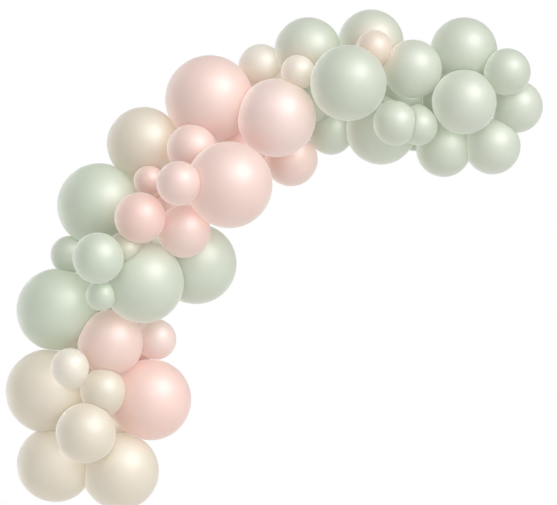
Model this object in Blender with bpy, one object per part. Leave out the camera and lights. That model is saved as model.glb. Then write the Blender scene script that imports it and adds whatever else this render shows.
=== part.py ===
"""A balloon garland for a wall, in sage, blush, cream and peach latex.

The garland is a curved swag of tied balloons, pressed against one another and against a wall in the plane
y = 0. It is seen from the -Y side, +X is to the right and +Z is up. The origin is the middle of the flat patch
where the biggest balloon, at the shoulder, is pressed against the wall. Lengths are in metres.

Each balloon is one closed solid: a round crown, a body that draws in towards the neck, a knot and a rolled
lip. Where two balloons press on each other, both are flat along the plane that the two pressures share.
"""
import math
from collections import namedtuple

import bmesh
import bpy
from mathutils import Vector

# What each size of balloon measures across when it is blown up to its nominal size
LARGE_BAG = 0.305
MEDIUM_BAG = 0.254
SMALL_BAG = 0.127

# How far apart the middles of the leftmost and rightmost balloons hang, and the plan's steps between them
SWAG_SPAN = 1.64
SPAN_STEPS = 164
PLAN_STEP = SWAG_SPAN / SPAN_STEPS

# How hard the balloons press: the share of two joined radii that the contact takes up
PRESS_SHARE = 0.13
# The same for one radius against the wall
WALL_SHARE = 0.05
# The least press that holds two neighbours together
TOUCH_SHARE = 0.05
# The air left between two pressed skins, so that each solid stays apart
CONTACT_GAP = 0.0003

# How far the neck end is drawn out past a true ball, as a share of the radius
TAPER_SHARE = 0.10

# The tied end: radii of the twisted neck, the knot and the rolled lip
NECK_RADIUS = 0.0055
KNOT_RADIUS = 0.0085
LIP_RADIUS = 0.0095
# The same end along its length: neck, knot and tail, each from the last
NECK_LENGTH = 0.004
KNOT_LENGTH = 0.007
TAIL_LENGTH = 0.006
LIP_LENGTH = 0.003
# A small bag's tied end is this share of the others'
SMALL_END_SHARE = 0.75

# How far out from the wall the middle of the garland runs, which the necks turn to
CORE_OUT = 0.13
# How many ways a neck is tried before the roomiest one towards the core is taken
NECK_TRIALS = 240

SAGE = "sage_latex"
BLUSH = "blush_latex"
CREAM = "cream_latex"
PEACH = "peach_latex"
RUBBER_COLOURS = {
    SAGE: (0.62, 0.69, 0.59),
    BLUSH: (0.87, 0.68, 0.61),
    CREAM: (0.79, 0.74, 0.64),
    PEACH: (0.88, 0.76, 0.66),
}
LATEX_ROUGHNESS = 0.32

Bag = namedtuple("Bag", "across sides rings end_scale")

# Each bag's size, the flat sides round it and the rings along its body, and how big its tied end is
LARGE = Bag(LARGE_BAG, 12, 7, 1.0)
MEDIUM = Bag(MEDIUM_BAG, 10, 5, 1.0)
SMALL = Bag(SMALL_BAG, 8, 5, SMALL_END_SHARE)
# The bag of the balloons behind, which are medium ones made plainer
PLAIN = Bag(MEDIUM_BAG, 8, 5, 1.0)

Balloon = namedtuple("Balloon", "name rubber bag fill right up")

# The hanging plan, from the wall outwards. Each row is a balloon, its rubber, its bag, how full it is blown,
# and how many plan steps its middle lies to the right of and above the origin. Each balloon rests on those
# before it.
HUNG = [
    Balloon("sage_crown_rim_left", SAGE, MEDIUM, 0.92, 34.5, 17.0),
    Balloon("sage_crown_rim_right", SAGE, MEDIUM, 0.90, 56.5, 20.0),
    Balloon("sage_tip_rim", SAGE, MEDIUM, 0.92, 89.0, 17.0),
    Balloon("sage_tip_end", SAGE, MEDIUM, 0.72, 107.5, -2.5),
    Balloon("sage_tip_upper", SAGE, MEDIUM, 0.65, 104.0, 9.5),
    Balloon("sage_tip_lower_left", SAGE, MEDIUM, 0.76, 82.0, -17.5),
    Balloon("sage_tip_lower_right", SAGE, MEDIUM, 0.77, 99.0, -16.5),
    Balloon("sage_crown_under_small", SAGE, MEDIUM, 0.62, 42.5, -11.5),
    Balloon("sage_crown_under_large", SAGE, LARGE, 0.81, 60.0, -10.5),
    Balloon("cream_crown_rim", CREAM, MEDIUM, 0.62, 18.0, 11.5),
    Balloon("peach_crown_left", PEACH, SMALL, 0.94, 31.0, 9.5),
    Balloon("peach_crown_right", PEACH, SMALL, 1.02, 57.5, 17.5),
    Balloon("blush_shoulder_under", BLUSH, MEDIUM, 0.74, 28.5, -21.0),
    Balloon("sage_bend_right", SAGE, LARGE, 0.92, -4.5, -57.5),
    Balloon("sage_bend_top", SAGE, LARGE, 0.96, -38.5, -37.0),
    Balloon("cream_shoulder_rim", CREAM, LARGE, 0.84, -23.0, -15.5),
    Balloon("blush_shoulder_largest", BLUSH, LARGE, 1.01, 0.0, 0.0),
    Balloon("blush_shoulder_small", BLUSH, MEDIUM, 0.69, -6.0, -17.5),
    Balloon("sage_bend_rim", SAGE, SMALL, 1.05, -49.5, -55.5),
    Balloon("sage_bend_middle", SAGE, LARGE, 0.93, -23.0, -64.0),
    Balloon("blush_leg_small", BLUSH, SMALL, 1.10, -18.5, -84.0),
    Balloon("sage_bend_tucked", SAGE, SMALL, 1.10, -29.5, -53.5),
    Balloon("sage_bend_left", SAGE, LARGE, 0.94, -53.0, -73.5),
    Balloon("cream_foot_left", CREAM, LARGE, 0.87, -54.0, -127.5),
    Balloon("cream_foot_right", CREAM, LARGE, 0.88, -31.0, -130.0),
    Balloon("cream_foot_upper", CREAM, LARGE, 0.96, -56.5, -102.0),
    Balloon("blush_leg_large", BLUSH, LARGE, 0.93, -20.5, -105.0),
    Balloon("blush_shoulder_inner", BLUSH, LARGE, 0.99, 7.0, -30.0),
    Balloon("sage_crown_twin_right", SAGE, SMALL, 1.05, 73.0, -9.5),
    Balloon("sage_crown_twin_left", SAGE, MEDIUM, 0.61, 65.0, -8.5),
    Balloon("sage_crown_right", SAGE, MEDIUM, 0.81, 71.0, 10.5),
    Balloon("sage_crown_front", SAGE, LARGE, 0.87, 48.5, 5.5),
    Balloon("sage_tip_backing", SAGE, PLAIN, 0.45, 91.0, -1.0),
    Balloon("sage_tip_front", SAGE, MEDIUM, 0.89, 89.0, -1.0),
    Balloon("blush_bunch_button", BLUSH, SMALL, 0.85, -21.0, -28.5),
    Balloon("blush_bunch_upper", BLUSH, MEDIUM, 0.61, -10.5, -29.5),
    Balloon("sage_bend_front", SAGE, MEDIUM, 0.70, -38.5, -55.5),
    Balloon("blush_leg_middle", BLUSH, MEDIUM, 0.90, -34.5, -85.0),
    Balloon("sage_bend_button", SAGE, SMALL, 0.83, -37.5, -68.5),
    Balloon("cream_foot_egg", CREAM, SMALL, 1.05, -48.5, -93.5),
    Balloon("cream_foot_small", CREAM, MEDIUM, 0.63, -37.0, -102.0),
    Balloon("blush_shoulder_front", BLUSH, LARGE, 0.90, 23.5, -6.5),
    Balloon("blush_bunch_left", BLUSH, MEDIUM, 0.70, -24.0, -41.5),
    Balloon("blush_bunch_lower", BLUSH, MEDIUM, 0.73, -9.0, -46.5),
    Balloon("cream_foot_front", CREAM, MEDIUM, 0.83, -43.0, -116.5),
]

# The balloons behind, tied against the wall where the others leave room
BACKING = [
    Balloon("cream_foot_backing", CREAM, SMALL, 1.10, -34.5, -115.0),
    Balloon("cream_leg_backing", CREAM, SMALL, 1.10, -46.5, -91.5),
    Balloon("blush_leg_backing", BLUSH, PLAIN, 0.60, -25.0, -84.5),
    Balloon("sage_leg_backing", SAGE, PLAIN, 0.65, -38.5, -70.0),
    Balloon("sage_bend_backing", SAGE, PLAIN, 0.66, -20.5, -51.0),
    Balloon("blush_bunch_backing", BLUSH, PLAIN, 0.73, -12.0, -40.5),
    Balloon("blush_shoulder_backing", BLUSH, PLAIN, 0.60, -21.0, -30.5),
    Balloon("blush_inner_backing", BLUSH, PLAIN, 0.72, 11.0, -17.5),
    Balloon("cream_crown_backing", CREAM, SMALL, 1.05, 25.0, 6.0),
    Balloon("sage_crown_backing_left", SAGE, PLAIN, 0.74, 36.5, 0.5),
    Balloon("sage_crown_button", SAGE, SMALL, 0.80, 71.5, -13.0),
    Balloon("sage_crown_backing_middle", SAGE, PLAIN, 0.70, 68.0, 0.5),
    Balloon("sage_crown_backing_right", SAGE, PLAIN, 0.70, 81.0, 0.0),
]

# Balloons that are squeezed in further than the rest, by this much more of the joined radii
SQUEEZE_SHARE = {
    "sage_bend_tucked": 0.25,
    "peach_crown_left": 0.12,
    "peach_crown_right": 0.25,
    "sage_crown_twin_left": 0.28,
}

# Balloons whose neck has its own way, as right, back and up, and how far that neck end is drawn out
TURNED_NECKS = {
    "cream_foot_egg": ((0.15, 0.45, -1.0), 0.50),
    "cream_foot_small": ((0.27, 0.45, -0.96), 0.20),
    "peach_crown_left": ((0.0, 0.35, -1.0), 0.20),
    "peach_crown_right": ((0.0, 0.6, -0.8), 0.10),
    "sage_crown_twin_right": ((0.0, 0.50, 1.0), 0.30),
}

# The balloon whose patch on the wall holds the origin, and from which the others are tied
ORIGIN_BALLOON = "blush_shoulder_largest"

# The line along the middle of the garland, in plan steps right and up, which the tied necks gather on
CORE_LINE = [(-43, -123), (-38, -88), (-35, -60), (-21, -35), (0, -11), (32, 2), (60, 5), (88, 2), (105, 0)]


def radius_of(balloon):
    """The radius of a balloon's round crown."""
    return balloon.bag.across * balloon.fill / 2


def taper_of(balloon):
    """How far a balloon's neck end is drawn out, as a share of its radius."""
    return TURNED_NECKS[balloon.name][1] if balloon.name in TURNED_NECKS else TAPER_SHARE


def plan_point(right, up, y=0.0):
    """A place in the hanging plan as a point in space."""
    return Vector((right * PLAN_STEP, y, up * PLAN_STEP))


def rest_out(centre, radius, level, squeeze, placed):
    """How far along Y a balloon's middle comes to rest: on the wall, at its level, or on those behind it."""
    y = min(-(1 - WALL_SHARE) * radius, -level)
    for other_centre, other_radius in placed:
        aside = math.hypot(centre.x - other_centre.x, centre.z - other_centre.z)
        reach = (1 - PRESS_SHARE - squeeze) * (radius + other_radius)
        if aside < reach:
            y = min(y, other_centre.y - math.sqrt(reach * reach - aside * aside))
    return y


def slack_between(here, there, centres, radii):
    """How far two balloons are from just touching, less than nothing where they press."""
    joined = (1 - TOUCH_SHARE) * (radii[here] + radii[there])
    return (centres[there] - centres[here]).length - joined


def draw_in(here, there, centres, radii):
    """Slide one balloon along the wall until it touches another."""
    joined = (1 - TOUCH_SHARE) * (radii[here] + radii[there])
    pull = centres[there] - centres[here]
    out = pull.y
    pull.y = 0.0
    aside = math.sqrt(max(joined * joined - out * out, 0.0))
    centres[here] += pull.normalized() * (pull.length - aside)


def tie_together(start, centres, radii):
    """Tie on the balloons one after another, nearest first, and draw in each that would hang free."""
    tied = [start]
    free = [index for index in range(len(centres)) if index != start]
    while free:
        slack, here, there = min((slack_between(here, there, centres, radii), here, there)
                                 for here in free for there in tied)
        if slack > 0:
            draw_in(here, there, centres, radii)
        tied.append(here)
        free.remove(here)


def hang_balloons():
    """The middle and radius of every balloon, with the origin's balloon resting on the wall at the origin."""
    placed = []
    for balloon in HUNG:
        centre = plan_point(balloon.right, balloon.up)
        radius = radius_of(balloon)
        level = CORE_OUT if balloon.bag is SMALL else 0.0
        centre.y = rest_out(centre, radius, level, SQUEEZE_SHARE.get(balloon.name, 0.0), placed)
        placed.append((centre, radius))
    for balloon in BACKING:
        radius = radius_of(balloon)
        centre = plan_point(balloon.right, balloon.up, -(1 - WALL_SHARE) * radius)
        placed.append((centre, radius))
    centres = [centre for centre, _ in placed]
    radii = [radius for _, radius in placed]
    origin = [balloon.name for balloon in HUNG].index(ORIGIN_BALLOON)
    tie_together(origin, centres, radii)
    return centres, radii


def contact_planes(index, centres, radii, reaches):
    """The planes that bound a balloon: distance from its middle and outward direction, nearest first."""
    planes = []
    for other, centre in enumerate(centres):
        if other == index:
            continue
        across = centre - centres[index]
        distance = across.length
        if distance < reaches[index] + reaches[other]:
            share = (distance ** 2 + radii[index] ** 2 - radii[other] ** 2) / (2 * distance)
            planes.append((share - CONTACT_GAP / 2, across / distance))
    planes.append((-centres[index].y, Vector((0, 1, 0))))
    return sorted(planes, key=lambda plane: plane[0])


def spread_directions(count):
    """Directions spread evenly over a ball, along a spiral."""
    golden_turn = math.pi * (3 - math.sqrt(5))
    directions = []
    for step in range(count):
        height = 1 - (2 * step + 1) / count
        ring = math.sqrt(1 - height * height)
        angle = golden_turn * step
        directions.append(Vector((ring * math.cos(angle), ring * math.sin(angle), height)))
    return directions


def towards_core(centre):
    """The direction from a balloon's middle to the nearest point of the garland's core line."""
    nearest = None
    for (right_a, up_a), (right_b, up_b) in zip(CORE_LINE, CORE_LINE[1:]):
        start = plan_point(right_a, up_a, -CORE_OUT)
        run = plan_point(right_b, up_b, -CORE_OUT) - start
        along = max(0.0, min(1.0, (centre - start).dot(run) / run.length_squared))
        point = start + run * along
        if nearest is None or (point - centre).length < (nearest - centre).length:
            nearest = point
    return (nearest - centre).normalized()


def shows_in_front(tip, centres, radii):
    """Whether a neck's end would be seen from the front, with no balloon before it."""
    for centre, radius in zip(centres, radii):
        if centre.y < tip.y and math.hypot(tip.x - centre.x, tip.z - centre.z) < radius:
            return False
    return True


def neck_direction(index, balloon, centres, radii, planes, reach):
    """The way a balloon's neck points: back to the core, out of sight, through the widest gap around it."""
    if balloon.name in TURNED_NECKS:
        return Vector(TURNED_NECKS[balloon.name][0]).normalized()
    core = (towards_core(centres[index]) + Vector((0, 1, 0))).normalized()
    lip = LIP_RADIUS * balloon.bag.end_scale
    best = None
    for direction in spread_directions(NECK_TRIALS):
        if direction.dot(core) < 0 or shows_in_front(centres[index] + direction * reach, centres, radii):
            continue
        room = min(distance - reach * direction.dot(normal) for distance, normal in planes) - lip
        score = min(room, 0.0) / lip + direction.dot(core)
        if best is None or score > best[0]:
            best = (score, direction)
    return best[1]


def body_levels(radius, taper, rings):
    """Distance towards the neck and radius of each ring of the body, from the crown on."""
    levels = []
    for step in range(1, rings + 1):
        angle = math.pi * step / (rings + 1)
        along = -radius * math.cos(angle)
        if angle > math.pi / 2:
            along *= 1 + taper * (2 * angle / math.pi - 1) ** 2
        levels.append((along, radius * math.sin(angle)))
    return levels


def end_levels(radius, taper, scale):
    """The same for the tied end: neck, knot, tail and rolled lip."""
    along = radius * (1 + taper)
    levels = [(along, NECK_RADIUS * scale)]
    steps = [(NECK_LENGTH + KNOT_LENGTH / 2, KNOT_RADIUS), (KNOT_LENGTH / 2 + TAIL_LENGTH, NECK_RADIUS),
             (LIP_LENGTH, LIP_RADIUS)]
    for length, width in steps:
        along += length * scale
        levels.append((along, width * scale))
    return levels


def end_length(balloon):
    """How far the tied end stands out past the body."""
    return (NECK_LENGTH + KNOT_LENGTH + TAIL_LENGTH + LIP_LENGTH) * balloon.bag.end_scale


def add_ring(mesh, centre, axis, side, along, radius, sides):
    """A ring of points round the balloon's axis."""
    up = axis.cross(side)
    points = []
    for step in range(sides):
        angle = 2 * math.pi * step / sides
        offset = side * math.cos(angle) + up * math.sin(angle)
        points.append(mesh.verts.new(centre + axis * along + offset * radius))
    return points


def join_rings(mesh, lower, upper):
    """Faces between two rings, where the upper may have half as many points as the lower."""
    count = len(lower)
    share = count // len(upper)
    for step in range(count):
        here, after = step, (step + 1) % count
        top_here, top_after = here // share, (after // share) % len(upper)
        corners = [lower[here], lower[after], upper[top_after]]
        if top_here != top_after:
            corners.append(upper[top_here])
        mesh.faces.new(corners)


def blown_balloon(balloon, centre, radius, axis):
    """The whole balloon before it is pressed: crown, body and tied end."""
    sides = balloon.bag.sides
    taper = taper_of(balloon)
    mesh = bmesh.new()
    side = axis.orthogonal().normalized()
    crown = mesh.verts.new(centre - axis * radius)
    below = None
    for along, width in body_levels(radius, taper, balloon.bag.rings):
        ring = add_ring(mesh, centre, axis, side, along, width, sides)
        if below is None:
            for step in range(sides):
                mesh.faces.new((crown, ring[(step + 1) % sides], ring[step]))
        else:
            join_rings(mesh, below, ring)
        below = ring
    for along, width in end_levels(radius, taper, balloon.bag.end_scale):
        ring = add_ring(mesh, centre, axis, side, along, width, sides // 2)
        join_rings(mesh, below, ring)
        below = ring
    mesh.faces.new(below)
    bmesh.ops.recalc_face_normals(mesh, faces=mesh.faces)
    return mesh


def press_flat(mesh, point, outward):
    """Take away what lies beyond a plane and close the balloon with a flat there."""
    everything = mesh.verts[:] + mesh.edges[:] + mesh.faces[:]
    bmesh.ops.bisect_plane(mesh, geom=everything, dist=1e-6, plane_co=point, plane_no=outward, clear_outer=True)
    rim = [edge for edge in mesh.edges if edge.is_boundary]
    if rim:
        bmesh.ops.holes_fill(mesh, edges=rim, sides=0)


def make_latex(name, colour):
    """A plain rubber material of one colour."""
    material = bpy.data.materials.new(name)
    material.use_nodes = True
    shader = material.node_tree.nodes["Principled BSDF"]
    shader.inputs["Base Color"].default_value = (*colour, 1.0)
    shader.inputs["Roughness"].default_value = LATEX_ROUGHNESS
    shader.inputs["Metallic"].default_value = 0.0
    return material


def add_balloon(balloon, mesh, material, garland):
    """Turn a finished balloon mesh into its own object, hung on the garland."""
    data = bpy.data.meshes.new(balloon.name)
    mesh.to_mesh(data)
    mesh.free()
    data.materials.append(material)
    data.shade_smooth()
    item = bpy.data.objects.new(balloon.name, data)
    item.parent = garland
    bpy.context.scene.collection.objects.link(item)


def build_garland():
    """Hang every balloon, press each one against its neighbours and the wall, and add it to the scene."""
    for item in list(bpy.data.objects):
        bpy.data.objects.remove(item)
    garland = bpy.data.objects.new("garland", None)
    bpy.context.scene.collection.objects.link(garland)
    materials = {name: make_latex(name, colour) for name, colour in RUBBER_COLOURS.items()}
    balloons = HUNG + BACKING
    centres, radii = hang_balloons()
    reaches = []
    for balloon, radius in zip(balloons, radii):
        reaches.append(radius * (1 + taper_of(balloon)) + end_length(balloon))
    for index, balloon in enumerate(balloons):
        planes = contact_planes(index, centres, radii, reaches)
        axis = neck_direction(index, balloon, centres, radii, planes, reaches[index])
        mesh = blown_balloon(balloon, centres[index], radii[index], axis)
        for distance, outward in planes:
            press_flat(mesh, centres[index] + outward * distance, outward)
        add_balloon(balloon, mesh, materials[balloon.rubber], garland)


build_garland()
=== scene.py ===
"""Dresses the balloon garland: each faceted balloon becomes a smooth one of pearl latex, in a white studio.

Every balloon is read back from its own solid as a ball with a drawn-out neck end. It is blown up again on a
fine mesh by a node tree, and pressed against its neighbours and the wall. Lengths are in metres; +X is to
the right, +Z is up, and the garland is seen from the -Y side.
"""

import logging
import math
from dataclasses import dataclass
from enum import Enum

import bpy
import numpy as np
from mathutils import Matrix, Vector


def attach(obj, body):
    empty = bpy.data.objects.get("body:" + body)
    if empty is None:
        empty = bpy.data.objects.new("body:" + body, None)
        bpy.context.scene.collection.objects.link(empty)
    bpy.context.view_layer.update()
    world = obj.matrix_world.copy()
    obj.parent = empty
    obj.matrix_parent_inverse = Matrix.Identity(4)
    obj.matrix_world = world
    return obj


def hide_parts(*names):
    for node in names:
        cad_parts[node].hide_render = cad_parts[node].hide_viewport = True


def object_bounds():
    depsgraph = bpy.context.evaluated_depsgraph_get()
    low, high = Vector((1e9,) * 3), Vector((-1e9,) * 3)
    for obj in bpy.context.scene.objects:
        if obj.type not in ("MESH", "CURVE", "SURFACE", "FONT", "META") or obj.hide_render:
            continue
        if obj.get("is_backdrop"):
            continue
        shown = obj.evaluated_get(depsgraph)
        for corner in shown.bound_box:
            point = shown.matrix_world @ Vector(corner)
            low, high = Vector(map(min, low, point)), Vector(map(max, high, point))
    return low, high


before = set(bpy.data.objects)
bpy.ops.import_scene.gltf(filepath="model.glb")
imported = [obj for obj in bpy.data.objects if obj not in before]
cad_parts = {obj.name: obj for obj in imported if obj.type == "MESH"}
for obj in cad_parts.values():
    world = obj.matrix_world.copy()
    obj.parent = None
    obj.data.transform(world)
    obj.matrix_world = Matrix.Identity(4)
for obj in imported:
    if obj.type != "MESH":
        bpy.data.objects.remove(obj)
LOG = logging.getLogger("garland")

Colour = tuple[float, float, float]
Socket = bpy.types.NodeSocket

TO_WALL = np.array([0.0, 1.0, 0.0])
# Past every taper and every share of the way out that a balloon has
FAR = 9.0


class Rubber(Enum):
    """The rubber colours that the balloons are bought in, by the first word of a node's name."""

    SAGE = "sage"
    BLUSH = "blush"
    CREAM = "cream"
    PEACH = "peach"


class Tone(Enum):
    """How one balloon of a colour differs from the next, from batch to batch and with how full it is; the
    sage's warm tone is instead a darker copy of the sage latex that paints the shade on a tucked-in balloon.
    """

    PLAIN = "plain"
    FRESH = "fresh"
    FADED = "faded"
    WARM = "warm"


class NodeSheet:
    """Puts nodes in a tree and wires them, with plain numbers set straight on the sockets."""

    def __init__(self, tree: bpy.types.NodeTree) -> None:
        """Starts a sheet.

        Args:
            tree: The node tree that the nodes go into.
        """
        self.tree = tree

    def add(self, kind: str, **settings: object) -> bpy.types.Node:
        """Adds one node.

        Args:
            kind: The node's type name.
            settings: Values for the node's own properties.

        Returns:
            The new node.
        """
        node = self.tree.nodes.new(kind)
        for name, value in settings.items():
            setattr(node, name, value)
        return node

    def feed(self, target: Socket, value: object) -> None:
        """Wires a socket into another, or sets the number or colour on it.

        Args:
            target: The socket that is fed.
            value: A socket, a number or a colour.
        """
        if isinstance(value, bpy.types.NodeSocket):
            self.tree.links.new(value, target)
        else:
            target.default_value = value

    def calc(self, operation: str, *values: object) -> Socket:
        """Adds a Math node.

        Args:
            operation: The operation's name.
            values: Its operands, as sockets or numbers.

        Returns:
            The socket with the result.
        """
        node = self.add("ShaderNodeMath", operation=operation)
        for target, value in zip(node.inputs, values):
            self.feed(target, value)
        return node.outputs[0]

    def times(self, first: object, *others: object) -> Socket:
        """Multiplies values, from left to right.

        Args:
            first: The first socket or number.
            others: The ones that it is multiplied by.

        Returns:
            The socket with the result.
        """
        for other in others:
            first = self.calc("MULTIPLY", first, other)
        return first

    def ramp(self, value: Socket, low: float, high: float, start: float = 0.0, end: float = 1.0) -> Socket:
        """Maps a value smoothly from one range to another.

        Args:
            value: The socket that is mapped.
            low: Where the source range starts.
            high: Where it ends.
            start: The result at the range's start.
            end: The result at its end.

        Returns:
            The socket with the result.
        """
        node = self.add("ShaderNodeMapRange", interpolation_type="SMOOTHSTEP")
        for target, number in zip(node.inputs[:5], (value, low, high, start, end)):
            self.feed(target, number)
        return node.outputs[0]


@dataclass(frozen=True)
class TiedEnd:
    """The tied neck end of a full-size bag: twisted neck, knot, tail and rolled lip."""

    neck_radius: float = 0.0055
    lip_radius: float = 0.0095
    length: float = 0.020
    # How the end runs: share of its rings, share of its length and share of the lip's radius
    profile: tuple[tuple[float, float, float], ...] = (
        (0.00, 0.00, 0.58), (0.12, 0.13, 0.55), (0.20, 0.21, 0.78), (0.30, 0.36, 0.89), (0.42, 0.53, 0.78),
        (0.50, 0.60, 0.54), (0.60, 0.73, 0.50), (0.70, 0.86, 0.74), (0.77, 0.93, 0.94), (0.83, 0.97, 1.00),
        (0.88, 1.00, 0.95), (0.92, 0.99, 0.76), (0.96, 0.95, 0.40), (1.00, 0.94, 0.00),
    )
    ruffle: float = 0.0012
    # The scale of a small bag's end, and the share of the length that still counts as a full-size one
    small_scale: float = 0.75
    full_from: float = 0.85


@dataclass(frozen=True)
class MeshGrade:
    """How finely a balloon is meshed: divisions round it, and rings along its body and its tied end."""

    sides: int
    body_rings: int
    end_rings: int


@dataclass(frozen=True)
class BlownForm:
    """A balloon before it is pressed: a ball whose neck end is drawn out along its axis."""

    centre: np.ndarray
    radius: float
    axis: np.ndarray
    taper: float
    end_scale: float

    @property
    def shoulder(self) -> float:
        """How far the neck starts from the middle."""
        return self.radius * (1 + self.taper)


@dataclass(frozen=True)
class Contact:
    """A plane that a balloon presses against: its direction, how far off it is, and who is there."""

    direction: np.ndarray
    distance: float
    neighbour: str = ""


@dataclass
class FormReader:
    """Reads the blown form behind a faceted solid from the solid's corners, which lie on the true surface."""

    end: TiedEnd = TiedEnd()
    smallest: float = 0.045
    largest: float = 0.170
    # The search for balls: picks of four corners, the least they may span, and how many balls are kept
    trials: int = 40000
    seed: int = 11
    least_span: float = 1e-7
    rivals: int = 60
    finalists: int = 8
    # How close two corners, a corner and a ball, or two balls count as one
    same_corner: float = 2e-5
    tolerance: float = 5e-5
    same_ball: float = 1e-3
    # Where the drawn-out side's corners lie, in radii from the middle and from the axis, and their tapers
    drawn_reach: tuple[float, float] = (1.003, 1.45)
    drawn_aside: tuple[float, float] = (0.17, 0.97)
    fewest_drawn: int = 3
    tapers: tuple[float, float] = (0.02, 0.6)
    plain_taper: float = 0.1
    # The search for the neck: directions, the largest miss that counts, and how far off a corner may be
    first_look: tuple[int, float, float] = (240, 0.003, 1.5e-3)
    close_look: tuple[int, float, float] = (1500, 0.002, 2e-4)
    # Then round the best few: tries, how wide they go, and the largest miss that counts
    starts: int = 4
    tries: int = 120
    narrowing: tuple[tuple[float, float], ...] = (
        (0.05, 0.0015), (0.02, 8e-4), (0.008, 4e-4), (0.003, 2e-4), (0.001, 1e-4))
    # What counts against a form: corners this far outside it, clear of the tied end
    penalty: int = 3
    crown_edge: float = 1e-3
    ball_margin: float = 3e-4
    drawn_margin: float = 2e-3
    end_clearance: float = 1.3

    def corners(self, node: bpy.types.Object) -> np.ndarray:
        """The solid's corners, each once and in order of place.

        Args:
            node: The CAD node's object.

        Returns:
            One row for each corner.
        """
        points = np.array([vertex.co for vertex in node.data.vertices], float)
        places = np.round(points / self.same_corner).astype(np.int64)
        return points[np.unique(places, axis=0, return_index=True)[1]]

    def balls(self, points: np.ndarray) -> list[tuple[np.ndarray, float]]:
        """The balls that the most corners lie on, best first.

        Args:
            points: The solid's corners.

        Returns:
            Middles and radii of the best few.
        """
        rng = np.random.default_rng(self.seed)
        middle = points.mean(0)
        local = points - middle
        picks = local[rng.integers(0, len(points), (self.trials, 4))]
        squares = (picks ** 2).sum(-1)
        spans = 2 * (picks[:, 1:] - picks[:, :1])
        steps = squares[:, 1:] - squares[:, :1]
        sound = np.abs(np.linalg.det(spans)) > self.least_span
        picks = picks[sound]
        centres = np.linalg.solve(spans[sound], steps[sound][..., None])[..., 0]
        radii = np.linalg.norm(picks[:, 0] - centres, axis=1)
        fits = (radii > self.smallest) & (radii < self.largest)
        centres, radii = centres[fits], radii[fits]
        misses = np.abs(np.linalg.norm(local[None] - centres[:, None], axis=2) - radii[:, None])
        counts = (misses < self.tolerance).sum(1)
        found: list[tuple[np.ndarray, float]] = []
        for index in np.argsort(-counts, kind="stable"):
            on_it = local[misses[index] < self.tolerance]
            table = np.c_[2 * on_it, np.ones(len(on_it))]
            answer = np.linalg.lstsq(table, (on_it ** 2).sum(1), rcond=None)[0]
            radius = math.sqrt(answer[3] + answer[:3] @ answer[:3])
            centre = answer[:3] + middle
            if all(np.linalg.norm(centre - other) > self.same_ball for other, _ in found):
                found.append((centre, radius))
            if len(found) == self.rivals:
                break
        return found

    def drawn_corners(self, points: np.ndarray, centre: np.ndarray, radius: float) -> np.ndarray:
        """The corners outside a ball, where its neck end is drawn out.

        Args:
            points: The solid's corners.
            centre: The ball's middle.
            radius: The ball's radius.

        Returns:
            The corners from the middle, one a row.
        """
        offsets = points - centre
        reach = np.linalg.norm(offsets, axis=1)
        low, high = self.drawn_reach
        return offsets[(reach > low * radius) & (reach < high * radius)]

    def spread(self, count: int) -> np.ndarray:
        """Directions spread evenly over the half sphere that faces the wall, where every neck is tucked in.

        Args:
            count: How many are spread over the whole sphere before the front half is mirrored.

        Returns:
            Unit vectors, one a row.
        """
        height = 1 - (2 * np.arange(count) + 1) / count
        ring = np.sqrt(1 - height * height)
        turn = math.pi * (3 - math.sqrt(5)) * np.arange(count)
        return self.turned_back(np.c_[ring * np.cos(turn), ring * np.sin(turn), height])

    def turned_back(self, axes: np.ndarray) -> np.ndarray:
        """Mirrors the axes that point away from the wall.

        Args:
            axes: Unit vectors, one a row.

        Returns:
            The same ones, none of them pointing away from the wall.
        """
        return axes * np.where(axes[:, 1:2] < 0, -1.0, 1.0)

    def misfit(self, axes: np.ndarray, offsets: np.ndarray, radius: float,
               cap: float) -> tuple[np.ndarray, np.ndarray]:
        """How badly the drawn-out side fits each of many axes.

        Args:
            axes: Unit vectors to try, one a row.
            offsets: The corners outside the ball, from its middle.
            radius: The ball's radius.
            cap: The largest miss that counts, because corners pressed inwards miss by any amount.

        Returns:
            The mean miss along each axis, and the taper that suits it best.
        """
        along = offsets @ axes.T
        aside = np.sqrt(np.maximum((offsets ** 2).sum(1)[:, None] - along ** 2, 0))
        low, high = self.drawn_aside
        beyond = (aside > low * radius) & (aside < high * radius) & (along > 0)
        inner = np.sqrt(np.maximum(radius ** 2 - aside ** 2, 1e-12))
        turn = 1 - 2 * np.arcsin(np.minimum(aside / radius, 0.9999)) / math.pi
        tapers = np.where(beyond, (along / inner - 1) / turn ** 2, np.nan)
        tapers[:, beyond.sum(0) == 0] = FAR
        best = np.clip(np.nanmedian(tapers, axis=0), *self.tapers)
        miss = np.minimum(np.abs(along - inner * (1 + best * turn ** 2)), cap)
        return np.where(beyond, miss, cap).mean(0), best

    def score(self, points: np.ndarray, centre: np.ndarray, radius: float, axis: np.ndarray, taper: float,
              slack: float) -> int:
        """How well one whole form agrees with a solid's corners.

        Args:
            points: The solid's corners.
            centre: The ball's middle.
            radius: The ball's radius.
            axis: The unit axis towards the neck.
            taper: The taper.
            slack: How far off a corner of the drawn-out side may be.

        Returns:
            The count of corners on the form, less a penalty for each one that lies outside it.
        """
        offsets = points - centre
        reach = np.linalg.norm(offsets, axis=1)
        along = offsets @ axis
        aside = np.sqrt(np.maximum(reach ** 2 - along ** 2, 0))
        turn = 1 - 2 * np.arcsin(np.minimum(aside / radius, 1)) / math.pi
        drawn = np.sqrt(np.maximum(radius ** 2 - aside ** 2, 0)) * (1 + taper * turn ** 2)
        crown_side = along < self.crown_edge
        on_ball = crown_side & (np.abs(reach - radius) < 2 * self.tolerance)
        on_neck = ~crown_side & (np.abs(along - drawn) < slack)
        past_drawn = (along > drawn + self.drawn_margin) & (aside > self.end_clearance * self.end.lip_radius)
        outside = np.where(crown_side, reach > radius + self.ball_margin, past_drawn)
        return int(on_ball.sum() + on_neck.sum() - self.penalty * outside.sum())

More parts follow.
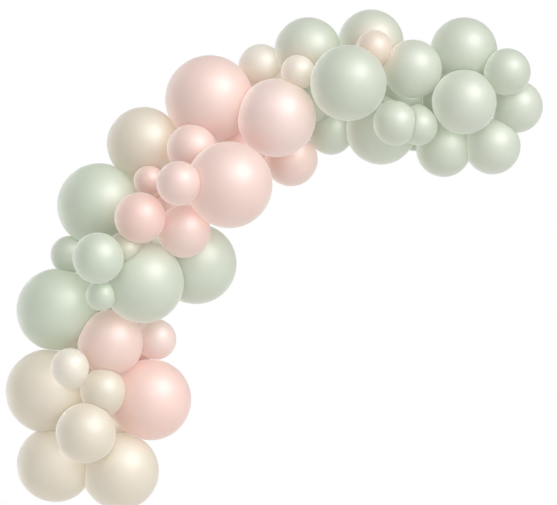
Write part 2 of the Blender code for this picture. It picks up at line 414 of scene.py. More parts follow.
    def neck(self, points: np.ndarray, centre: np.ndarray, radius: float) -> tuple[np.ndarray, float, int]:
        """The neck's direction and the taper, and how well the corners agree with them.

        Args:
            points: The solid's corners.
            centre: The ball's middle.
            radius: The ball's radius.

        Returns:
            The unit axis towards the neck, the taper and the form's score.
        """
        outside = self.drawn_corners(points, centre, radius)
        count, first_cap, slack = self.close_look
        if len(outside) < self.fewest_drawn:
            score = self.score(points, centre, radius, TO_WALL, self.plain_taper, slack)
            return TO_WALL, self.plain_taper, score
        rng = np.random.default_rng(self.seed)
        axes = self.spread(count)
        misses, tapers = self.misfit(axes, outside, radius, first_cap)
        answers = []
        for start in np.argsort(misses)[:self.starts]:
            axis, taper = axes[start], tapers[start]
            for width, cap in self.narrowing:
                tries = axis + width * rng.normal(size=(self.tries, 3))
                tries = np.vstack([axis, self.turned_back(tries / np.linalg.norm(tries, axis=1)[:, None])])
                tried, drawn = self.misfit(tries, outside, radius, cap)
                axis, taper = tries[tried.argmin()], drawn[tried.argmin()]
            answers.append((self.score(points, centre, radius, axis, taper, slack), axis, float(taper)))
        score, axis, taper = max(answers, key=lambda answer: answer[0])
        return axis, taper, score

    def finals(self, points: np.ndarray) -> list[tuple[np.ndarray, float]]:
        """The balls that make the likeliest whole forms, from a coarse look at each.

        Args:
            points: The solid's corners.

        Returns:
            Middles and radii of the best few.
        """
        count, cap, slack = self.first_look
        axes = self.spread(count)
        rated = []
        for centre, radius in self.balls(points):
            outside = self.drawn_corners(points, centre, radius)
            axis, taper = TO_WALL, self.plain_taper
            if len(outside) >= self.fewest_drawn:
                misses, tapers = self.misfit(axes, outside, radius, cap)
                axis, taper = axes[misses.argmin()], float(tapers[misses.argmin()])
            rated.append((self.score(points, centre, radius, axis, taper, slack), centre, radius))
        rated.sort(key=lambda entry: -entry[0])
        return [(centre, radius) for _, centre, radius in rated[:self.finalists]]

    def read(self, node: bpy.types.Object) -> BlownForm:
        """Reads one solid.

        Args:
            node: The CAD node's object.

        Returns:
            The balloon's blown form.
        """
        points = self.corners(node)
        best: tuple[int, np.ndarray, float, np.ndarray, float] | None = None
        for centre, radius in self.finals(points):
            axis, taper, score = self.neck(points, centre, radius)
            if best is None or score > best[0]:
                best = (score, centre, radius, axis, taper)
        _, centre, radius, axis, taper = best
        reach = np.linalg.norm(points - centre, axis=1).max()
        left = math.sqrt(max(reach ** 2 - self.end.lip_radius ** 2, 0)) - radius * (1 + taper)
        end_scale = 1.0 if left > self.end.full_from * self.end.length else self.end.small_scale
        return BlownForm(centre, radius, axis, taper, end_scale)


class BlankTree:
    """The geometry node tree that blows up one balloon round its own Z axis, crown down and neck up."""

    SIZES = (("Radius", 0.1), ("Taper", 0.1), ("End Scale", 1.0), ("Body Share", 0.8), ("Pleat Depth", 0.02),
             ("Phase", 0.0))
    COUNTS = (("Sides", 96), ("Rings", 90), ("Pleats", 9))
    # Where the neck, the pleats and the thick rubber start and are full, as shares of the body's rings
    NECK_SPAN = (0.86, 0.97)
    PLEAT_SPAN = (0.80, 1.0)
    THICK_SPAN = (0.80, 0.99)
    # How softly the body runs into the neck, in neck radii
    NECK_BLEND = 1.6
    # The pleats: their depth as a share of the radius, their turn along the end, and what is left at the lip
    PLEAT_DEPTH, PLEAT_TWIST, PLEAT_LEFT = 0.05, 9.0, 0.1
    # The lip: how often it flops and curls in one turn, and how deep a curl is, as a share of the radius
    FLOPS, CURLS, CURL_DEPTH = 2.0, 3.0, 0.05
    # The least way past the body that counts as the end, and how close points are joined
    END_STARTS, SEAM = 1e-5, 2e-5

    def __init__(self, end: TiedEnd) -> None:
        """Builds the tree.

        Args:
            end: The sizes of the tied end.
        """
        self.end = end
        self.tree = bpy.data.node_groups.new("blown_balloon", "GeometryNodeTree")
        face = self.tree.interface
        for name, value in self.SIZES:
            face.new_socket(name, in_out="INPUT", socket_type="NodeSocketFloat").default_value = value
        for name, value in self.COUNTS:
            face.new_socket(name, in_out="INPUT", socket_type="NodeSocketInt").default_value = value
        face.new_socket("Latex", in_out="INPUT", socket_type="NodeSocketMaterial")
        face.new_socket("Geometry", in_out="OUTPUT", socket_type="NodeSocketGeometry")
        self.sheet = NodeSheet(self.tree)
        self.given = self.sheet.add("NodeGroupInput").outputs
        self._lay_out()

    def _curve(self, value: Socket, column: int) -> Socket:
        """Reads one column of the tied end's profile.

        Args:
            value: How far along the end's rings, from 0 to 1.
            column: The column of the profile.

        Returns:
            The socket with that column's share.
        """
        node = self.sheet.add("ShaderNodeFloatCurve")
        points = node.mapping.curves[0].points
        rows = self.end.profile
        points[0].location = (rows[0][0], rows[0][column])
        points[1].location = (rows[-1][0], rows[-1][column])
        for row in rows[1:-1]:
            points.new(row[0], row[column])
        node.mapping.update()
        self.sheet.feed(node.inputs["Value"], value)
        return node.outputs[0]

    def _mark(self, geometry: Socket, name: str, value: Socket) -> Socket:
        """Stores a value on every point.

        Args:
            geometry: The geometry that is marked.
            name: The attribute's name.
            value: What is stored.

        Returns:
            The marked geometry.
        """
        node = self.sheet.add("GeometryNodeStoreNamedAttribute", data_type="FLOAT", domain="POINT")
        self.sheet.feed(node.inputs["Geometry"], geometry)
        node.inputs["Name"].default_value = name
        self.sheet.feed(node.inputs["Value"], value)
        return node.outputs[0]

    def _body(self, body: Socket) -> tuple[Socket, Socket]:
        """Runs along the blown body, from the crown to the neck.

        Args:
            body: How far along the body's rings, from 0 to 1.

        Returns:
            How far along the axis the surface is, and how far from it.
        """
        calc, times, given = self.sheet.calc, self.sheet.times, self.given
        angle = times(body, math.pi)
        drawn = calc("MAXIMUM", calc("SUBTRACT", times(body, 2.0), 1.0), 0.0)
        stretch = calc("ADD", times(drawn, drawn, given["Taper"]), 1.0)
        along = times(calc("COSINE", angle), -1.0, times(given["Radius"], stretch))
        aside = times(calc("SINE", angle), given["Radius"])
        near_neck = self.sheet.ramp(body, *self.NECK_SPAN)
        neck = times(given["End Scale"], self.end.neck_radius, near_neck)
        return along, calc("SMOOTH_MAX", aside, neck, times(neck, self.NECK_BLEND))

    def _tied_end(self, turn: Socket, past: Socket) -> tuple[Socket, Socket]:
        """Runs along the tied end, from the neck over the knot and the rolled lip.

        Args:
            turn: How far round the axis, as an angle.
            past: How far along the end's rings, from 0 to 1.

        Returns:
            How far along the axis the surface is, and how far from it.
        """
        calc, times, given = self.sheet.calc, self.sheet.times, self.given
        along = times(self._curve(past, 1), times(given["End Scale"], self.end.length))
        aside = times(self._curve(past, 2), times(given["End Scale"], self.end.lip_radius))
        flop = calc("SINE", calc("ADD", times(turn, self.FLOPS), given["Phase"]))
        curl = calc("SINE", calc("ADD", times(turn, self.CURLS), given["Phase"]))
        lip = times(past, past)
        aside = times(aside, calc("ADD", times(curl, lip, self.CURL_DEPTH), 1.0))
        ruffle = self.end.ruffle / self.end.lip_radius
        droop = calc("ADD", times(flop, lip, ruffle), ruffle)
        return calc("SUBTRACT", along, times(droop, aside)), aside

    def _lay_out(self) -> None:
        """Puts in the nodes: a grid wrapped round the axis, closed, smooth and dressed."""
        sheet, calc, times, given = self.sheet, self.sheet.calc, self.sheet.times, self.given
        grid = sheet.add("GeometryNodeMeshGrid")
        sheet.feed(grid.inputs["Vertices X"], calc("ADD", given["Sides"], 1))
        sheet.feed(grid.inputs["Vertices Y"], given["Rings"])
        place = sheet.add("ShaderNodeSeparateXYZ")
        sheet.feed(place.inputs[0], sheet.add("GeometryNodeInputPosition").outputs[0])
        turn = times(calc("ADD", place.outputs[0], 0.5), 2 * math.pi)
        row = calc("ADD", place.outputs[1], 0.5)
        body = calc("MINIMUM", calc("DIVIDE", row, given["Body Share"]), 1.0)
        past = calc("DIVIDE", calc("SUBTRACT", row, given["Body Share"]),
                    calc("SUBTRACT", 1.0, given["Body Share"]))
        on_end = calc("GREATER_THAN", past, self.END_STARTS)
        off_end = calc("SUBTRACT", 1.0, on_end)
        past = calc("MAXIMUM", past, 0.0)
        body_along, body_aside = self._body(body)
        end_along, end_aside = self._tied_end(turn, past)
        wave = calc("COSINE", calc("ADD", times(turn, given["Pleats"]), times(past, self.PLEAT_TWIST)))
        gather = times(sheet.ramp(body, *self.PLEAT_SPAN), sheet.ramp(past, 0.0, 1.0, 1.0, self.PLEAT_LEFT))
        pleat = calc("ADD", times(wave, gather, given["Pleat Depth"]), 1.0)
        aside = times(calc("ADD", times(body_aside, off_end), times(end_aside, on_end)), pleat)
        along = calc("ADD", body_along, times(end_along, on_end))
        spot = sheet.add("ShaderNodeCombineXYZ")
        parts = (times(aside, calc("COSINE", turn)), times(aside, calc("SINE", turn)), along)
        for target, value in zip(spot.inputs, parts):
            sheet.feed(target, value)
        shape = self._mark(grid.outputs["Mesh"], "thick", sheet.ramp(body, *self.THICK_SPAN))
        shape = self._mark(shape, "tied", on_end)
        steps = (("GeometryNodeSetPosition", "Position", spot.outputs[0]),
                 ("GeometryNodeMergeByDistance", "Distance", self.SEAM),
                 ("GeometryNodeSetShadeSmooth", "", None),
                 ("GeometryNodeRealizeInstances", "", None),
                 ("GeometryNodeSetMaterial", "Material", given["Latex"]))
        for kind, name, value in steps:
            node = sheet.add(kind)
            sheet.feed(node.inputs["Geometry"], shape)
            if name:
                sheet.feed(node.inputs[name], value)
            shape = node.outputs[0]
        sheet.feed(sheet.add("NodeGroupOutput").inputs[0], shape)

    def blow(self, name: str, form: BlownForm, grade: MeshGrade, pleats: int, phase: float,
             latex: bpy.types.Material) -> bpy.types.Object:
        """Blows up one balloon as a plain mesh object.

        Args:
            name: The object's name.
            form: The balloon's blown form.
            grade: How finely it is meshed.
            pleats: How many pleats gather at the neck.
            phase: Where the lip's ruffle starts, as an angle.
            latex: The material.

        Returns:
            The object, still round its own Z axis.
        """
        item = bpy.data.objects.new(name, bpy.data.meshes.new(name + "_blank"))
        bpy.context.scene.collection.objects.link(item)
        maker = item.modifiers.new("blow", "NODES")
        maker.node_group = self.tree
        rings = grade.body_rings + grade.end_rings
        values = {"Radius": form.radius, "Taper": form.taper, "End Scale": form.end_scale,
                  "Body Share": (grade.body_rings - 1) / (rings - 1), "Pleat Depth": self.PLEAT_DEPTH,
                  "Phase": phase, "Sides": grade.sides, "Rings": rings, "Pleats": pleats, "Latex": latex}
        for entry in self.tree.interface.items_tree:
            if entry.in_out == "INPUT":
                maker[entry.identifier] = values[entry.name]
        bpy.context.view_layer.update()
        evaluated = item.evaluated_get(bpy.context.evaluated_depsgraph_get())
        mesh = bpy.data.meshes.new_from_object(evaluated)
        item.modifiers.clear()
        item.data = mesh
        mesh.name = name
        return item


@dataclass
class PearlLook:
    """The shader group that all the latex shares: pearl clouding, thicker rubber, a fine skin, and the
    painted glow that peach neighbours would shine on.
    """

    cloud_scale: float = 9.0
    shimmer_scale: float = 260.0
    # The noise values between which clouds and shimmer run, and how far the shimmer moves the roughness
    cloud_range: tuple[float, float] = (0.35, 0.7)
    shimmer_range: tuple[float, float] = (0.3, 0.7)
    roughness_swing: float = 0.025
    group: bpy.types.NodeTree | None = None

    def build(self) -> bpy.types.NodeTree:
        """Builds the group once.

        Returns:
            The shader node group.
        """
        if self.group is not None:
            return self.group
        tree = bpy.data.node_groups.new("pearl_latex", "ShaderNodeTree")
        face = tree.interface
        for name in ("Skin", "Deep", "Painted Glow"):
            face.new_socket(name, in_out="INPUT", socket_type="NodeSocketColor")
        for name in ("Thick", "Painted Glow Share", "Clouding", "Roughness"):
            face.new_socket(name, in_out="INPUT", socket_type="NodeSocketFloat")
        for name, kind in (("Colour", "Color"), ("Roughness", "Float"), ("Height", "Float")):
            face.new_socket(name, in_out="OUTPUT", socket_type="NodeSocket" + kind)
        sheet = NodeSheet(tree)
        given = sheet.add("NodeGroupInput").outputs
        where = sheet.add("ShaderNodeTexCoord").outputs["Object"]
        clouds = self._noise(sheet, where, self.cloud_scale, 3.0)
        shimmer = self._noise(sheet, where, self.shimmer_scale, 2.0)
        cloudy = sheet.times(sheet.ramp(clouds, *self.cloud_range), given["Clouding"])
        mixed = self._mix(sheet, given["Skin"], given["Deep"], sheet.calc("ADD", given["Thick"], cloudy))
        # Paints the glow that peach neighbours shine on into the base colour
        shone = self._mix(sheet, mixed, given["Painted Glow"], given["Painted Glow Share"])
        swing = sheet.ramp(shimmer, *self.shimmer_range, -self.roughness_swing, self.roughness_swing)
        result = sheet.add("NodeGroupOutput").inputs
        sheet.feed(result["Colour"], shone)
        sheet.feed(result["Roughness"], sheet.calc("ADD", given["Roughness"], swing))
        sheet.feed(result["Height"], shimmer)
        self.group = tree
        return tree

    def _mix(self, sheet: NodeSheet, first: Socket, second: Socket, share: Socket) -> Socket:
        """Mixes two colours.

        Args:
            sheet: The sheet that the node goes on.
            first: The colour at a share of 0.
            second: The colour at a share of 1.
            share: The second colour's share.

        Returns:
            The mixed colour.
        """
        node = sheet.add("ShaderNodeMix", data_type="RGBA", clamp_factor=True)
        for name, value in (("Factor", share), ("A", first), ("B", second)):
            sheet.feed(node.inputs[name], value)
        return node.outputs["Result"]

    def _noise(self, sheet: NodeSheet, where: Socket, scale: float, detail: float) -> Socket:
        """Adds a noise texture.

        Args:
            sheet: The sheet that it goes on.
            where: The coordinates that it reads.
            scale: The pattern's scale.
            detail: How many finer layers it has.

        Returns:
            The noise's value.
        """
        noise = sheet.add("ShaderNodeTexNoise")
        sheet.feed(noise.inputs["Vector"], where)
        noise.inputs["Scale"].default_value = scale
        noise.inputs["Detail"].default_value = detail
        return noise.outputs[0]


@dataclass(frozen=True)
class LatexFinish:
    """The pearl finish of one rubber colour, in linear light."""

    slot: str
    skin: Colour
    deep: Colour
    roughness: float = 0.55
    clouding: float = 0.10
    specular: float = 0.70
    ior: float = 1.75
    coat: float = 0.35
    coat_roughness: float = 0.26
    sheen: float = 0.80
    sheen_roughness: float = 0.30
    grain: float = 0.0002
    grain_strength: float = 0.25

    def material(self, name: str, look: PearlLook) -> bpy.types.Material:
        """Makes the material.

        Args:
            name: The material's name.
            look: The shared shader group.

        Returns:
            The material.
        """
        latex = bpy.data.materials.new(name)
        latex.use_nodes = True
        sheet = NodeSheet(latex.node_tree)
        shader = latex.node_tree.nodes["Principled BSDF"]
        pearl = sheet.add("ShaderNodeGroup", node_tree=look.build())
        thick = sheet.add("ShaderNodeAttribute", attribute_name="thick").outputs
        painted_glow = sheet.add("ShaderNodeAttribute", attribute_name="painted_glow").outputs
        grain = sheet.add("ShaderNodeBump")
        given = (
            (pearl, (("Skin", (*self.skin, 1.0)), ("Deep", (*self.deep, 1.0)), ("Thick", thick["Fac"]),
                     ("Painted Glow", painted_glow["Color"]), ("Painted Glow Share", painted_glow["Alpha"]), ("Clouding", self.clouding),
                     ("Roughness", self.roughness))),
            (grain, (("Strength", self.grain_strength), ("Distance", self.grain),
                     ("Height", pearl.outputs["Height"]))),
            (shader, (("Base Color", pearl.outputs["Colour"]), ("Roughness", pearl.outputs["Roughness"]),
                      ("Normal", grain.outputs["Normal"]), ("Metallic", 0.0),
                      ("Specular IOR Level", self.specular), ("IOR", self.ior), ("Coat Weight", self.coat),
                      ("Coat Roughness", self.coat_roughness), ("Sheen Weight", self.sheen),
                      ("Sheen Roughness", self.sheen_roughness))))
        for node, values in given:
            for socket, value in values:
                sheet.feed(node.inputs[socket], value)
        return latex


FINISHES: dict[tuple[Rubber, Tone], LatexFinish] = {
    (Rubber.SAGE, Tone.PLAIN): LatexFinish("sage_latex", (0.555, 0.61, 0.505), (0.37, 0.445, 0.325)),
    (Rubber.SAGE, Tone.FRESH): LatexFinish("sage_latex", (0.55, 0.62, 0.505), (0.35, 0.435, 0.31)),
    (Rubber.SAGE, Tone.FADED): LatexFinish("sage_latex", (0.58, 0.63, 0.53), (0.39, 0.455, 0.345)),
    # The sage's warm tone is a darker copy of the sage latex: painted shade for the balloon tucked in behind
    # the others
    (Rubber.SAGE, Tone.WARM): LatexFinish("sage_latex", (0.49, 0.49, 0.38), (0.38, 0.38, 0.28)),
    (Rubber.BLUSH, Tone.PLAIN): LatexFinish("blush_latex", (0.80, 0.60, 0.545), (0.68, 0.43, 0.36)),
    (Rubber.BLUSH, Tone.WARM): LatexFinish("blush_latex", (0.82, 0.58, 0.525), (0.70, 0.41, 0.34)),
    (Rubber.BLUSH, Tone.FADED): LatexFinish("blush_latex", (0.815, 0.64, 0.595), (0.66, 0.46, 0.39)),
    (Rubber.CREAM, Tone.PLAIN): LatexFinish("cream_latex", (0.69, 0.63, 0.52), (0.54, 0.48, 0.37)),
    (Rubber.CREAM, Tone.FADED): LatexFinish("cream_latex", (0.77, 0.72, 0.625), (0.58, 0.51, 0.40)),
    (Rubber.PEACH, Tone.PLAIN): LatexFinish("peach_latex", (0.81, 0.735, 0.635), (0.62, 0.52, 0.40)),
    (Rubber.PEACH, Tone.WARM): LatexFinish("peach_latex", (0.745, 0.635, 0.53), (0.58, 0.46, 0.36)),
}


class LatexShelf:
    """Hands out one material for each rubber and tone."""

    def __init__(self) -> None:
        """Starts with nothing made."""
        self.look = PearlLook()
        self.made: dict[tuple[Rubber, Tone], bpy.types.Material] = {}

    def pick(self, rubber: Rubber, tone: Tone) -> tuple[bpy.types.Material, str]:
        """Gets a material.

        Args:
            rubber: The rubber colour.
            tone: The tone within that colour.

        Returns:
            The material and the record's slot that it belongs to.
        """
        finish = FINISHES[(rubber, tone)]
        if (rubber, tone) not in self.made:
            self.made[(rubber, tone)] = finish.material(f"{rubber.value}_{tone.value}_pearl", self.look)
        return self.made[(rubber, tone)], finish.slot


@dataclass
class Press:
    """Presses blown balloons against one another and the wall, with a soft roll at the edge of each flat."""

    gap: float = 0.0003
    softness: float = 0.03
    # How strongly the painted glow of a nearly clear neighbour shows, and how far past its edge it reaches,
    # as an angle
    glow: float = 0.65
    glow_reach: float = 1.0
    # The least share of its size that a tied end keeps before it is tucked in wholly
    least_end: float = 0.3
    end: TiedEnd = TiedEnd()

    def contacts(self, name: str, forms: dict[str, BlownForm]) -> list[Contact]:
        """The planes that bound one balloon.

        Args:
            name: The balloon's node.
            forms: The blown form of every node.

        Returns:
            Its contacts, the wall among them.
        """
        own = forms[name]
        found = [Contact(TO_WALL, -own.centre[1] - self.gap / 2)]
        for other, form in forms.items():
            across = form.centre - own.centre
            distance = float(np.linalg.norm(across))
            reach = own.shoulder + form.shoulder + 2 * self.end.length
            if other != name and distance < reach:
                share = (distance ** 2 + own.radius ** 2 - form.radius ** 2) / (2 * distance)
                found.append(Contact(across / distance, share - self.gap / 2, other))
        return found

    def end_room(self, form: BlownForm, contacts: list[Contact]) -> float:
        """How large the tied end can be between the contacts.

        Args:
            form: The balloon's blown form.
            contacts: Its contacts.

        Returns:
            The end's scale, or 0 where it is tucked in wholly.
        """
        scale = form.end_scale
        for contact in contacts:
            along = float(contact.direction @ form.axis)
            reach = self.end.length * along + self.end.lip_radius * math.sqrt(max(1 - along * along, 0))
            if reach > 0:
                scale = min(scale, (contact.distance - form.shoulder * along) / reach)
        return scale if scale > self.least_end * form.end_scale else 0.0

    def place(self, item: bpy.types.Object, form: BlownForm, contacts: list[Contact]) -> np.ndarray:
        """Moves a blank to its place and presses it.

        Args:
            item: The blank, round its own Z axis.
            form: Its blown form.
            contacts: Its contacts.

        Returns:
            The balloon's points before they were pressed, from its middle.
        """
        mesh = item.data
        points = np.empty(len(mesh.vertices) * 3, np.float32)
        mesh.vertices.foreach_get("co", points)
        points = points.reshape(-1, 3).astype(float)
        tied = np.empty(len(points), np.float32)
        mesh.attributes["tied"].data.foreach_get("value", tied)
        axis = Vector(form.axis)
        side = axis.orthogonal().normalized()
        turned = np.array([side, axis.cross(side), axis])
        offsets = points @ turned
        share = np.ones(len(points))
        soft = self.softness * (1 - tied)
        order = []
        for contact in contacts:
            towards = offsets @ contact.direction
            room = np.where(towards > 1e-6, contact.distance / np.maximum(towards, 1e-6), FAR)
            if room.min() < 1 + self.softness:
                order.append((room.min(), room))
        for _, room in sorted(order, key=lambda pair: -pair[0]):
            near = np.maximum(soft - np.abs(share - room), 0) / np.maximum(soft, 1e-9)
            share = np.minimum(share, room) - near * near * soft / 4
        placed = offsets * share[:, None] + form.centre
        mesh.vertices.foreach_set("co", placed.astype(np.float32).ravel())
        mesh.attributes.remove(mesh.attributes["tied"])
        mesh.update()
        return offsets

    def paint_glow(self, item: bpy.types.Object, form: BlownForm, contacts: list[Contact],
             offsets: np.ndarray) -> None:
        """Stores a painted glow: the colour that the nearly clear peach neighbours would shine onto a balloon
        round each contact, for its base colour to take on.

        Args:
            item: The placed balloon.
            form: Its blown form.
            contacts: Its contacts.
            offsets: Its points before they were pressed, from its middle.
        """
        towards = offsets / np.linalg.norm(offsets, axis=1)[:, None]
        total = np.zeros(len(towards))
        colours = np.zeros((len(towards), 3))
        skin = np.array(FINISHES[(Rubber.PEACH, Tone.WARM)].skin)
        for contact in contacts:
            if contact.neighbour.startswith(Rubber.PEACH.value) and contact.distance < form.radius:
                edge = math.acos(max(-1.0, contact.distance / form.radius))
                past = np.arccos(np.clip(towards @ contact.direction, -1, 1)) - edge
                weight = np.clip(1 - past / self.glow_reach, 0, 1) ** 2
                total += weight
                colours += weight[:, None] * skin
        share = np.minimum(total, 1.0) * self.glow
        colours = colours / np.maximum(total, 1e-6)[:, None]
        painted_glow = item.data.attributes.new("painted_glow", "FLOAT_COLOR", "POINT")
        painted_glow.data.foreach_set("color", np.c_[colours, share].astype(np.float32).ravel())


@dataclass
class Balloon:
    """One balloon of the garland."""

    node: str
    tone: Tone
    form: BlownForm
    grade: MeshGrade
    pleats: int
    phase: float

    @property
    def rubber(self) -> Rubber:
        """The rubber colour, from the node's name."""
        return Rubber(self.node.split("_")[0])

    def build(self, tree: BlankTree, press: Press, forms: dict[str, BlownForm], shelf: LatexShelf) -> int:
        """Blows, presses and dresses the balloon, in place of its node.

        Args:
            tree: The tree that blows it up.
            press: What presses it.
            forms: The blown forms of all balloons.
            shelf: Where its latex comes from.

        Returns:
            The number of triangles.
        """
        latex, slot = shelf.pick(self.rubber, self.tone)
        contacts = press.contacts(self.node, forms)
        form = BlownForm(self.form.centre, self.form.radius, self.form.axis, self.form.taper,
                         press.end_room(self.form, contacts))
        item = tree.blow("latex_" + self.node, form, self.grade, self.pleats, self.phase, latex)
        offsets = press.place(item, form, contacts)
        press.paint_glow(item, form, contacts, offsets)
        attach(item, "root")
        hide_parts(self.node)
        return sum(len(face.vertices) - 2 for face in item.data.polygons)


# The balloons whose tone isn't plain
TONES: dict[str, Tone] = {
    "cream_foot_egg": Tone.FADED, "blush_leg_large": Tone.WARM, "blush_leg_small": Tone.FADED,
    "sage_bend_left": Tone.FRESH, "sage_bend_top": Tone.FRESH, "sage_bend_front": Tone.FRESH,
    # sage_bend_tucked takes the sage's warm tone, a darker copy of the sage latex that paints the shade it
    # sits in
    "sage_bend_button": Tone.FRESH, "sage_bend_tucked": Tone.WARM, "blush_bunch_left": Tone.WARM,
    "blush_shoulder_front": Tone.FADED, "peach_crown_right": Tone.WARM, "sage_crown_right": Tone.FADED,
    "cream_crown_rim": Tone.FADED, "sage_tip_end": Tone.FADED, "sage_tip_front": Tone.FADED,
    "sage_tip_lower_right": Tone.FADED, "sage_crown_backing_middle": Tone.FADED,
    "sage_crown_backing_right": Tone.FADED, "blush_inner_backing": Tone.WARM,
}


@dataclass
class Cluster:
    """A run of balloons that hang together, from the middle word of their nodes' names."""

    place: str = ""
    large: MeshGrade = MeshGrade(96, 72, 20)
    medium: MeshGrade = MeshGrade(80, 60, 18)
    small: MeshGrade = MeshGrade(64, 48, 16)
    # The least radius of a large and of a medium balloon
    large_from: float = 0.12
    medium_from: float = 0.072
    # How the pleats and the lip's ruffle go from one balloon to the next
    fewest_pleats: int = 8
    pleat_counts: int = 4
    phase_step: float = 1.7

    def members(self, names: list[str]) -> list[str]:
        """The nodes that belong to the cluster, in order of name.

        Args:
            names: All the nodes' names.

        Returns:
            The cluster's own.
        """
        return [name for name in sorted(names) if name.split("_")[1] == self.place and "backing" not in name]

    def grade(self, radius: float) -> MeshGrade:
        """The mesh grade for a balloon of some radius."""
        if radius > self.large_from:
            return self.large
        return self.medium if radius > self.medium_from else self.small

    def build(self, forms: dict[str, BlownForm], tree: BlankTree, press: Press, shelf: LatexShelf) -> None:
        """Builds and reports every balloon of the cluster.

        Args:
            forms: The blown forms of all balloons.
            tree: The tree that blows them up.
            press: What presses them.
            shelf: Where their latex comes from.
        """
        for index, name in enumerate(self.members(list(forms))):
            form = forms[name]
            pleats = self.fewest_pleats + index % self.pleat_counts
            balloon = Balloon(name, TONES.get(name, Tone.PLAIN), form, self.grade(form.radius), pleats,
                              self.phase_step * index)
            count = balloon.build(tree, press, forms, shelf)
            LOG.info("%s: %s, %.3f m across, %d triangles", type(self).__name__, name, 2 * form.radius, count)


@dataclass
class Foot(Cluster):
    """The cream balloons that the garland's left leg ends in."""

    place: str = "foot"


@dataclass
class Leg(Cluster):
    """The blush balloons above the foot."""

    place: str = "leg"


@dataclass
class Bend(Cluster):
    """The sage balloons where the leg turns up to the shoulder."""

    place: str = "bend"


@dataclass
class Bunch(Cluster):
    """The small blush balloons that hang before the bend."""

    place: str = "bunch"


@dataclass
class Shoulder(Cluster):
    """The big blush balloons and their cream neighbour."""

    place: str = "shoulder"


@dataclass
class Crown(Cluster):
    """The sage and peach balloons along the garland's top."""

    place: str = "crown"


@dataclass
class Tip(Cluster):
    """The sage balloons that the garland's right end trails off in."""

    place: str = "tip"


@dataclass
class Backing(Cluster):
    """The plainer balloons behind, which fill the gaps at the wall."""

    large: MeshGrade = MeshGrade(64, 48, 14)
    medium: MeshGrade = MeshGrade(64, 48, 14)
    small: MeshGrade = MeshGrade(48, 36, 12)

    def members(self, names: list[str]) -> list[str]:
        """The backing nodes, in order of name."""
        return [name for name in sorted(names) if name.endswith("backing") or "_backing_" in name]


@dataclass(frozen=True)
class Lamp:
    """A broad far light: its strength, its breadth in degrees, where it comes from, and what it does."""

    name: str
    strength: float
    breadth: float
    comes_from: tuple[float, float, float]
    shadows: bool = False
    gloss_only: bool = False
    colour: Colour = (1.0, 0.99, 0.975)


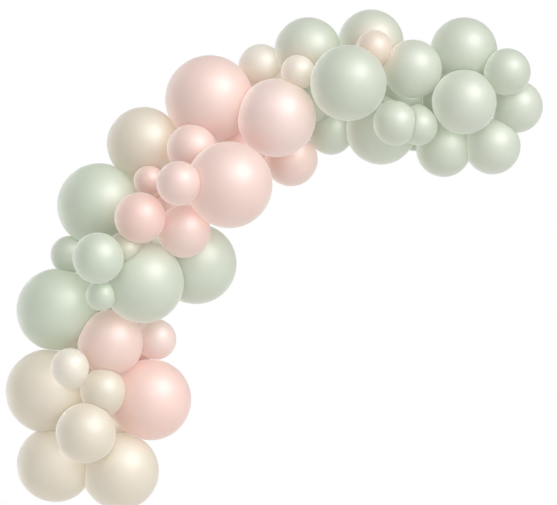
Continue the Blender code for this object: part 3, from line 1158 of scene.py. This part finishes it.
@dataclass
class Studio:
    """The white room, its lights and the camera."""

    lens: float = 900.0
    sensor: float = 36.0
    view_width: float = 1.944
    aim: tuple[float, float, float] = (0.2418, -0.20, -0.5355)
    floor_drop: float = 0.16
    floor_reach: float = 9.0
    floor_colour: Colour = (0.86, 0.86, 0.85)
    floor_roughness: float = 0.7
    fill: float = 0.445
    lamps: tuple[Lamp, ...] = (
        Lamp("key", 1.00, 34.0, (0.60, -0.52, 0.62)),
        Lamp("soft_key", 1.32, 80.0, (0.40, -0.74, 0.62), shadows=True),
        Lamp("pearl", 1.42, 46.0, (0.50, -0.70, 0.50), gloss_only=True, colour=(1.0, 0.95, 0.965)),
        Lamp("rim", 0.92, 64.0, (-0.77, 0.62, 0.18)),
        Lamp("low_rim", 0.30, 70.0, (-0.20, 0.60, -0.76)),
    )

    def build(self) -> None:
        """Sets up everything that isn't part of the garland."""
        self._floor()
        self._world()
        for lamp in self.lamps:
            self._lamp(lamp)
        self._camera()
        bpy.context.scene.view_settings.view_transform = "Standard"

    def _floor(self) -> None:
        """Lays a plain pale floor under the garland."""
        low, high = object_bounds()
        level = low.z - self.floor_drop
        left, right = low.x - self.floor_reach, high.x + self.floor_reach
        front, back = low.y - self.floor_reach, high.y + self.floor_reach
        corners = [(left, front), (right, front), (right, back), (left, back)]
        mesh = bpy.data.meshes.new("floor")
        mesh.from_pydata([(x, y, level) for x, y in corners], [], [(0, 1, 2, 3)])
        floor = bpy.data.objects.new("floor", mesh)
        bpy.context.scene.collection.objects.link(floor)
        paint = bpy.data.materials.new("floor_paint")
        paint.use_nodes = True
        shader = paint.node_tree.nodes["Principled BSDF"]
        shader.inputs["Base Color"].default_value = (*self.floor_colour, 1.0)
        shader.inputs["Roughness"].default_value = self.floor_roughness
        mesh.materials.append(paint)
        floor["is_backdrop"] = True

    def _world(self) -> None:
        """Surrounds the garland with white, brighter to the eye than as a light."""
        world = bpy.data.worlds.new("white_room")
        world.use_nodes = True
        bpy.context.scene.world = world
        sheet = NodeSheet(world.node_tree)
        ground = world.node_tree.nodes["Background"]
        path = sheet.add("ShaderNodeLightPath")
        ground.inputs["Color"].default_value = (1.0, 1.0, 1.0, 1.0)
        seen = sheet.times(path.outputs["Is Camera Ray"], 1.0 - self.fill)
        sheet.feed(ground.inputs["Strength"], sheet.calc("ADD", seen, self.fill))

    def _lamp(self, lamp: Lamp) -> None:
        """Hangs one light.

        Args:
            lamp: The light's sizes.
        """
        light = bpy.data.lights.new(lamp.name, "SUN")
        light.energy = lamp.strength
        light.angle = math.radians(lamp.breadth)
        light.color = lamp.colour
        light.use_shadow = lamp.shadows
        light.cycles.use_multiple_importance_sampling = lamp.shadows
        item = bpy.data.objects.new(lamp.name, light)
        item.visible_diffuse = not lamp.gloss_only
        item.rotation_euler = Vector(lamp.comes_from).to_track_quat("Z", "Y").to_euler()
        bpy.context.scene.collection.objects.link(item)

    def _camera(self) -> None:
        """Sets the camera straight in front, far off with a long lens."""
        lens = bpy.data.cameras.new("camera")
        lens.lens = self.lens
        lens.sensor_width = self.sensor
        away = self.view_width * self.lens / self.sensor
        lens.clip_start, lens.clip_end = 1.0, 3 * away
        item = bpy.data.objects.new("camera", lens)
        item.location = (self.aim[0], self.aim[1] - away, self.aim[2])
        item.rotation_euler = (math.radians(90), 0.0, 0.0)
        bpy.context.scene.collection.objects.link(item)
        bpy.context.scene.camera = item


def main() -> None:
    """Reads the solids, builds every cluster in order, and sets up the studio."""
    logging.basicConfig(level=logging.INFO, format="%(message)s")
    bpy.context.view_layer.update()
    reader = FormReader()
    forms = {name: reader.read(node) for name, node in sorted(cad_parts.items())}
    tree, press, shelf = BlankTree(reader.end), Press(), LatexShelf()
    for cluster in (Foot(), Leg(), Bend(), Bunch(), Shoulder(), Crown(), Tip(), Backing()):
        cluster.build(forms, tree, press, shelf)
    Studio().build()


if __name__ == "__main__":
    main()
